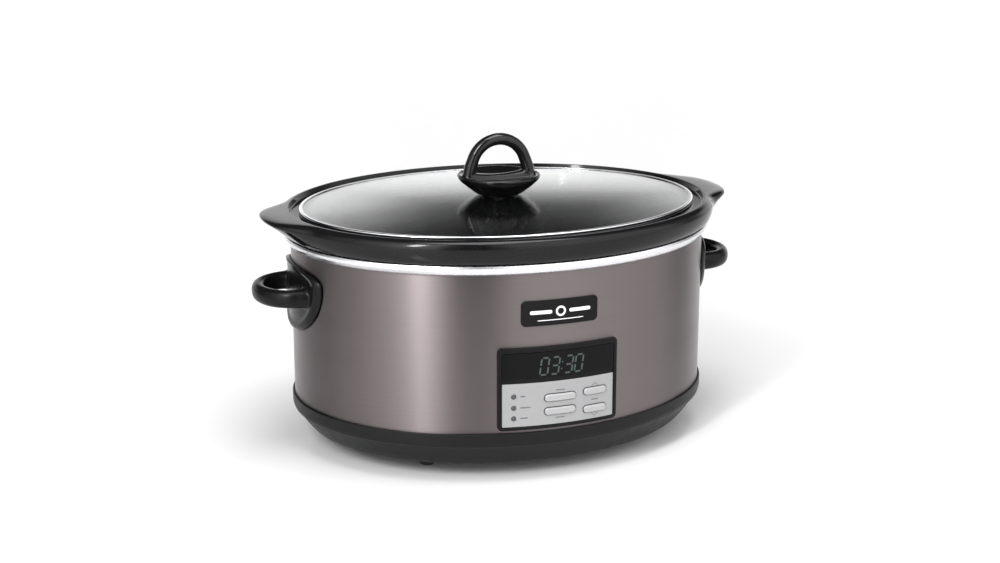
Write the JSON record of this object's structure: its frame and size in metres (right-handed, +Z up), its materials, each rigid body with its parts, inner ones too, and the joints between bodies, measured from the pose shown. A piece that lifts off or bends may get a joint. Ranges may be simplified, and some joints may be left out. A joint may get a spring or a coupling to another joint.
{
  "type": "slow cooker",
  "caption": "Oval programmable slow cooker: steel-wrapped base with control panel, lift-out stoneware crock and glass lid with an arch handle.",
  "frame": {"origin": "on the table under the middle of the cooker", "axes": "+Z up, -Y towards the control panel, X along the oval's length through both side handles"},
  "size_m": [0.449, 0.3156, 0.267],
  "materials": {
    "black_stainless": "vertically brushed, warm dark tint, satin",
    "bright_ring": "bright satin",
    "lid_steel": "polished",
    "glazed_stoneware": "high-gloss black glaze",
    "lid_glass": "clear, polished",
    "gloss_black": "polished",
    "satin_black": "satin moulded",
    "matt_black": "fine moulded texture",
    "silver_fascia": "silver film, satin",
    "silver_key": "silver film, satin",
    "smoked_window": "smoked, polished",
    "display": "dark segments",
    "lamp": "tinted lens",
    "rubber_black": "matt",
    "well_aluminium": "drawn, satin",
    "heater": "woven glass tape over heating wire",
    "insulation": "glass-fibre felt",
    "lead_sleeve": "braided sleeve",
    "zinc_steel": "zinc plated",
    "circuit_board": "solder mask",
    "board_part": "moulded",
    "ribbon": "ribbon cable",
    "brass_part": "plain"
  },
  "bodies": {
    "cooker_base": {"trim_ring": "bright_ring", "outer_shell": "black_stainless", "heating_well": "well_aluminium", "heating_band": "heater", "band_insulation": "insulation", "heater_leads": "lead_sleeve", "well_stud": "zinc_steel", "stud_nut": "zinc_steel", "base_housing": "matt_black", "rubber_feet": "rubber_black", "side_handle_left": "satin_black", "side_handle_right": "satin_black", "side_handle_screws": "zinc_steel", "panel_bezel": "gloss_black", "display_window": "smoked_window", "panel_fascia": "silver_fascia", "display_module": "display", "key_switches": "board_part", "indicator_lights": "lamp", "control_board": "circuit_board", "board_screws": "zinc_steel", "board_heat_shield": "well_aluminium", "panel_cable": "ribbon", "power_board": "circuit_board", "power_board_parts": "board_part", "thermistor_probe": "brass_part", "thermal_fuse": "zinc_steel", "cord_gland": "matt_black", "front_badge": "gloss_black"},
    "crock_body": {"crock": "glazed_stoneware"},
    "lid": {"lid_glass": "lid_glass", "lid_band": "lid_steel", "lid_handle": "gloss_black", "handle_gasket": "rubber_black", "handle_washer": "zinc_steel", "handle_screw": "zinc_steel"},
    "select_key": {"key_select": "silver_key"},
    "power_key": {"key_power": "silver_key"},
    "up_key": {"key_up": "silver_key"},
    "down_key": {"key_down": "silver_key"}
  },
  "joints": [
    {"name": "crock_lift", "type": "slide", "parent": "cooker_base", "child": "crock_body", "axis": [0, 0, 1], "range_m": [0, 0.17]},
    {"name": "lid_lift", "type": "slide", "parent": "crock_body", "child": "lid", "axis": [0, 0, 1], "range_m": [0, 0.12]},
    {"name": "key_select_press", "type": "slide", "parent": "cooker_base", "child": "select_key", "axis": [0, 1, 0], "range_m": [0, 0.001], "stiffness_N_per_m": 300},
    {"name": "key_power_press", "type": "slide", "parent": "cooker_base", "child": "power_key", "axis": [0, 1, 0], "range_m": [0, 0.001], "stiffness_N_per_m": 300},
    {"name": "key_up_press", "type": "slide", "parent": "cooker_base", "child": "up_key", "axis": [0, 1, 0], "range_m": [0, 0.001], "stiffness_N_per_m": 300},
    {"name": "key_down_press", "type": "slide", "parent": "cooker_base", "child": "down_key", "axis": [0, 1, 0], "range_m": [0, 0.001], "stiffness_N_per_m": 300}
  ]
}
